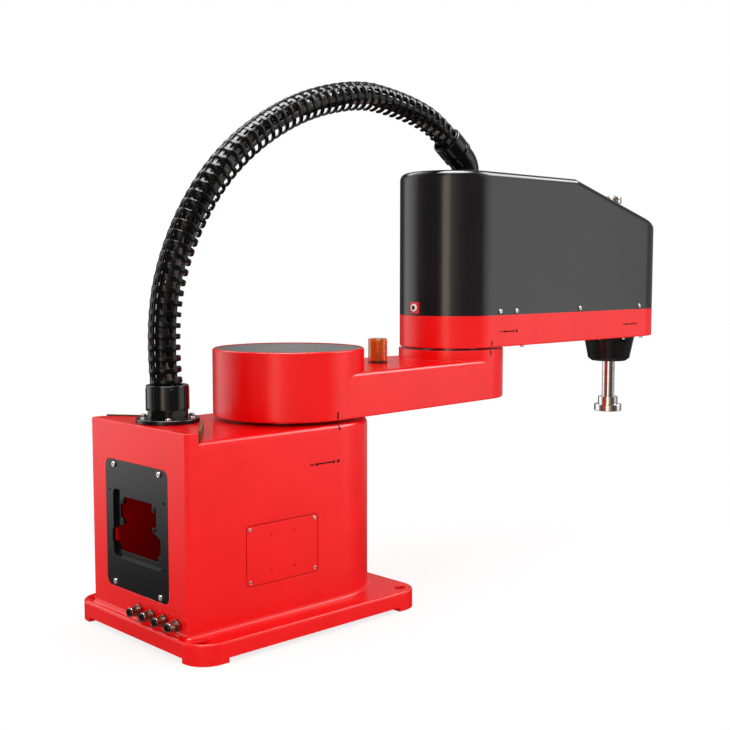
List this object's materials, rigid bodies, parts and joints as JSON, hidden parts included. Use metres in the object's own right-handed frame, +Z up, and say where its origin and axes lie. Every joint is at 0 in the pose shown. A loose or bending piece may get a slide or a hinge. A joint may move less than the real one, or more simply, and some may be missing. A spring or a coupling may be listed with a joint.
{
  "type": "scara robot",
  "caption": "Bench-mounted SCARA robot: box column, two swinging arms, a hollow quill that slides and turns, and a flexible conduit arched from base to forearm.",
  "frame": {"origin": "centre of the four base bolt holes, in the plane that the feet stand on; the first axis is 56 mm in front of it", "axes": "+Z up along the joint axes, +X forward along the stretched arm"},
  "size_m": [0.8649, 0.225, 0.5741],
  "materials": {
    "red_paint": "satin red paint on cast aluminium",
    "red_sheet": "satin red paint on steel sheet",
    "black_sheet": "black satin paint",
    "grey_cap": "grey satin paint",
    "black_cover": "black satin moulding",
    "black_nylon": "glossy black nylon",
    "black_part": "black plastic",
    "nickel": "bright nickel",
    "steel": "ground steel",
    "motor_black": "black anodised housing",
    "bright_alu": "machined aluminium",
    "amber": "translucent amber",
    "lamp_dark": "dark amber plastic",
    "seal_rubber": "olive brown foam rubber",
    "belt_rubber": "black rubber belt",
    "red_plastic": "red plastic",
    "white_plastic": "white plastic",
    "screw_steel": "zinc-plated steel"
  },
  "bodies": {
    "base": {"base_casting": "red_paint", "pad_seals": "seal_rubber", "bottom_cover": "red_sheet", "rear_panel": "black_sheet", "rear_panel_screws": "screw_steel", "side_cover": "red_sheet", "side_cover_screws": "screw_steel", "air_fittings": "nickel", "fitting_rings": "black_part", "conduit_gland": "black_nylon", "gland_screws": "screw_steel", "j1_motor": "motor_black", "j1_circular_spline": "steel", "j1_output_bearing": "steel", "conduit_lower": "black_nylon"},
    "link1": {"link1_casting": "red_paint", "hub_cap": "grey_cap", "j1_flexspline": "steel", "hub_screws": "screw_steel", "lamp_base": "lamp_dark", "lamp_core": "lamp_dark", "lamp_lens": "amber", "j2_circular_spline": "steel", "j2_output_bearing": "steel"},
    "link2": {"link2_casting": "red_paint", "under_screws": "screw_steel", "link2_cover": "black_cover", "cover_screws": "screw_steel", "drive_plate": "bright_alu", "drive_posts": "bright_alu", "j2_flexspline": "steel", "j2_motor": "motor_black", "j3_motor": "motor_black", "j4_motor": "motor_black", "j3_belt": "belt_rubber", "j4_belt": "belt_rubber", "spline_bearing": "steel", "ball_nut_bearing": "steel", "bottom_cone": "black_part", "cone_screws": "screw_steel", "brake_bezel": "red_plastic", "brake_spring": "steel", "conduit_elbow": "black_nylon", "elbow_collar": "black_nylon", "conduit_upper": "black_nylon"},
    "j1_input": {"j1_wave_generator": "steel"},
    "j2_input": {"j2_wave_generator": "steel"},
    "j3_input": {"j3_motor_pulley": "bright_alu"},
    "j4_input": {"j4_motor_pulley": "bright_alu"},
    "spline_drive": {"spline_nut": "steel", "spline_pulley": "bright_alu"},
    "screw_drive": {"ball_nut": "steel", "ball_nut_pulley": "bright_alu"},
    "quill_shaft": {"quill": "steel", "tool_flange": "steel", "flange_screw": "screw_steel", "stop_collar": "steel"},
    "button": {"brake_button": "white_plastic"}
  },
  "joints": [
    {"name": "joint1", "type": "hinge", "parent": "base", "child": "link1", "pos_m": [0.056, 0, 0.2075], "axis": [0, 0, 1], "range_deg": [-130, 130], "deforming": ["conduit_lower"]},
    {"name": "joint2", "type": "hinge", "parent": "link1", "child": "link2", "pos_m": [0.316, 0, 0.267], "axis": [0, 0, 1], "range_deg": [-143.5, 143.5], "deforming": ["conduit_upper"]},
    {"name": "joint4", "type": "hinge", "parent": "link2", "child": "spline_drive", "pos_m": [0.656, 0, 0.28], "axis": [0, 0, 1], "range_deg": [-360, 360]},
    {"name": "joint3", "type": "slide", "parent": "spline_drive", "child": "quill_shaft", "axis": [0, 0, 1], "range_m": [-0.105, 0.045]},
    {"name": "ball_nut_turn", "type": "hinge", "parent": "spline_drive", "child": "screw_drive", "pos_m": [0.656, 0, 0.33], "axis": [0, 0, 1], "range_deg": [-2400, 1050]},
    {"name": "j3_motor_turn", "type": "hinge", "parent": "link2", "child": "j3_input", "pos_m": [0.464, 0, 0.32], "axis": [0, 0, 1], "range_deg": [-4500, 1950]},
    {"name": "j4_motor_turn", "type": "hinge", "parent": "link2", "child": "j4_input", "pos_m": [0.556, 0, 0.305], "axis": [0, 0, 1], "range_deg": [-990, 990]},
    {"name": "j1_motor_turn", "type": "hinge", "parent": "base", "child": "j1_input", "pos_m": [0.056, 0, 0.18], "axis": [0, 0, 1], "range_deg": [-10500, 10500]},
    {"name": "j2_motor_turn", "type": "hinge", "parent": "link2", "child": "j2_input", "pos_m": [0.316, 0, 0.24], "axis": [0, 0, 1], "range_deg": [-7200, 7200]},
    {"name": "brake_button_press", "type": "slide", "parent": "link2", "child": "button", "axis": [1, 0, 0], "range_m": [0, 0.0025], "stiffness_N_per_m": 800, "deforming": ["brake_spring"]}
  ],
  "couplings": [
    {"joint": "ball_nut_turn", "follows": "joint3", "rad_per_m": 392.7},
    {"joint": "j3_motor_turn", "follows": "joint3", "rad_per_m": 729.3},
    {"joint": "j4_motor_turn", "follows": "joint4", "ratio": 2.7273},
    {"joint": "j1_motor_turn", "follows": "joint1", "ratio": -80},
    {"joint": "j2_motor_turn", "follows": "joint2", "ratio": -50}
  ]
}
